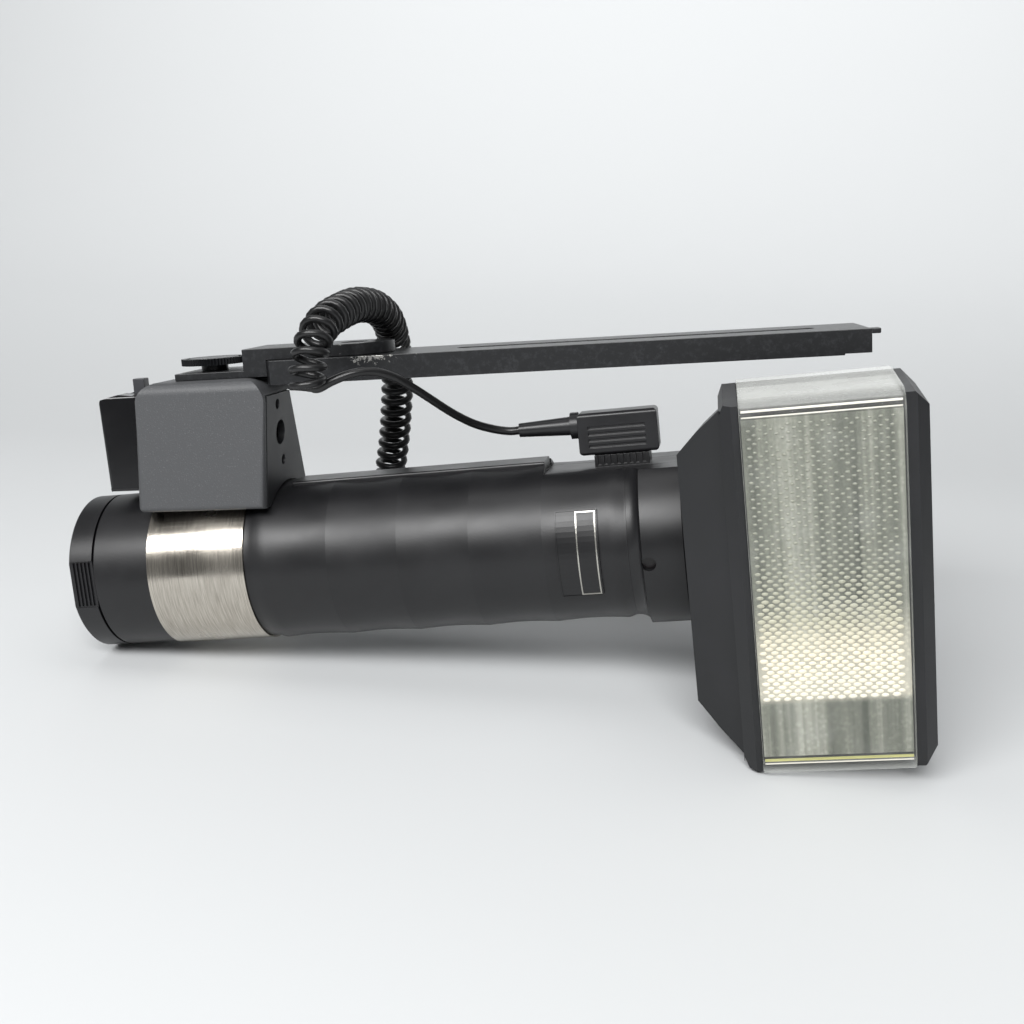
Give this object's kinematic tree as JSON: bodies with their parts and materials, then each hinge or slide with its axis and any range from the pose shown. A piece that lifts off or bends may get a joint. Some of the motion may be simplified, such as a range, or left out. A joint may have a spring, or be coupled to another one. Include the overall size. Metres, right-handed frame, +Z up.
{
  "type": "handle mount flash",
  "caption": "Handle mount flash on its side: battery handle with a swivel and tilt head, clear window, clamped bracket with slotted camera rail, curly sync cord.",
  "frame": {"origin": "centre of the underside of the box round the flash without its cord, on the table", "axes": "+X along the handle from the battery cap to the head, +Y from the window to the rear of the head, +Z up"},
  "size_m": [0.2462, 0.1304, 0.1136],
  "materials": {
    "shell": "satin black moulded plastic",
    "collar": "smooth black plastic",
    "sensor": "dark glossy window",
    "strip": "smooth black plastic",
    "cap": "ribbed black plastic",
    "basket": "plain black plastic",
    "cells": "plain metal jacket",
    "contacts": "plain sprung metal",
    "capacitor": "sleeved can",
    "board": "lacquered laminate",
    "band": "brushed band",
    "casting": "plain casting",
    "cover": "grained grey-black plastic",
    "plate": "dark painted steel",
    "screws": "blackened steel",
    "lever": "dark glossy plastic",
    "pin": "plain turned steel",
    "knob": "black knurled metal",
    "rail": "black paint worn at the edges",
    "head": "fine grained black plastic",
    "panel": "smooth black plastic",
    "mirror": "bright rolled sheet",
    "tube": "clear tube",
    "prism": "ribbed clear plastic",
    "window": "clear moulded plastic",
    "lamp": "red-orange lens",
    "button": "grey-black plastic",
    "cord": "matt black sheath",
    "plug": "black moulded plastic",
    "metal": "plated metal"
  },
  "bodies": {
    "handle": {"handle_shell": "shell", "sensor_collar": "collar", "photo_sensor": "sensor", "side_strip": "strip", "socket_panel": "strip", "contact_springs": "contacts", "main_capacitor": "capacitor", "handle_board": "board", "clamp_band": "band", "clamp_saddle": "casting", "block_cover": "cover", "side_plate": "plate", "lever_bracket": "casting", "lever_pin": "pin", "bracket_arm": "rail", "camera_rail": "rail", "lap_pin": "pin", "rail_stop": "rail", "plug_body": "plug", "plug_relief": "plug", "cord_lead": "cord", "curly_cord": "cord", "cord_tail": "cord", "sync_plug": "metal"},
    "magazine": {"battery_basket": "basket", "battery_cells": "cells"},
    "cap": {"battery_cap": "cap"},
    "lever": {"release_lever": "lever"},
    "lock": {"lock_button": "button"},
    "knob": {"clamp_knob": "knob"},
    "swivel": {"swivel_neck": "casting", "swivel_ring": "casting", "tilt_pin": "pin"},
    "head": {"head_shell": "head", "rear_panel": "panel", "reflector": "mirror", "flash_tube": "tube", "tube_holders": "contacts", "prism_panel": "prism", "clear_window": "window", "head_board": "board", "ready_lamp": "lamp", "head_screws": "screws"},
    "dial": {"calculator_dial": "button"},
    "test": {"test_button": "button"},
    "switch": {"main_switch": "button"}
  },
  "joints": [
    {"name": "magazine_slide", "type": "slide", "parent": "handle", "child": "magazine", "axis": [-0.9911, 0, -0.1328], "range_m": [0, 0.115]},
    {"name": "cap_turn", "type": "hinge", "parent": "magazine", "child": "cap", "pos_m": [-0.12007, 0.00222, 0.02282], "axis": [-0.9911, 0, -0.1328], "range_deg": [0, 45]},
    {"name": "lever_hinge", "type": "hinge", "parent": "handle", "child": "lever", "pos_m": [-0.10972, 0.00872, 0.07395], "axis": [0.0173, 0.9914, -0.1294], "range_deg": [0, 30], "stiffness_Nm_per_rad": 0.1, "springref_deg": -5.73},
    {"name": "lock_press", "type": "slide", "parent": "handle", "child": "lock", "axis": [0.0883, -0.1304, -0.9875], "range_m": [0, 0.0015], "stiffness_N_per_m": 300, "springref_m": -0.0005},
    {"name": "knob_spin", "type": "hinge", "parent": "handle", "child": "knob", "pos_m": [-0.08153, 0.00558, 0.08843], "axis": [-0.0883, 0.1304, 0.9875], "continuous": true},
    {"name": "head_swivel", "type": "hinge", "parent": "handle", "child": "swivel", "pos_m": [0.05824, 0.00222, 0.04671], "axis": [0.9911, 0, 0.1328], "range_deg": [-10, 13]},
    {"name": "head_tilt", "type": "hinge", "parent": "swivel", "child": "head", "pos_m": [0.08302, 0.02423, 0.05003], "axis": [-0.1328, 0, 0.9911], "range_deg": [0, 90]},
    {"name": "dial_turn", "type": "hinge", "parent": "head", "child": "dial", "pos_m": [0.1008, 0.04992, 0.06412], "axis": [0, 1, 0], "range_deg": [-150, 150]},
    {"name": "test_press", "type": "slide", "parent": "head", "child": "test", "axis": [0, -1, 0], "range_m": [0, 0.0012], "stiffness_N_per_m": 200, "springref_m": -0.0005},
    {"name": "switch_slide", "type": "slide", "parent": "head", "child": "switch", "axis": [0.1328, 0, -0.9911], "range_m": [0, 0.004]}
  ]
}
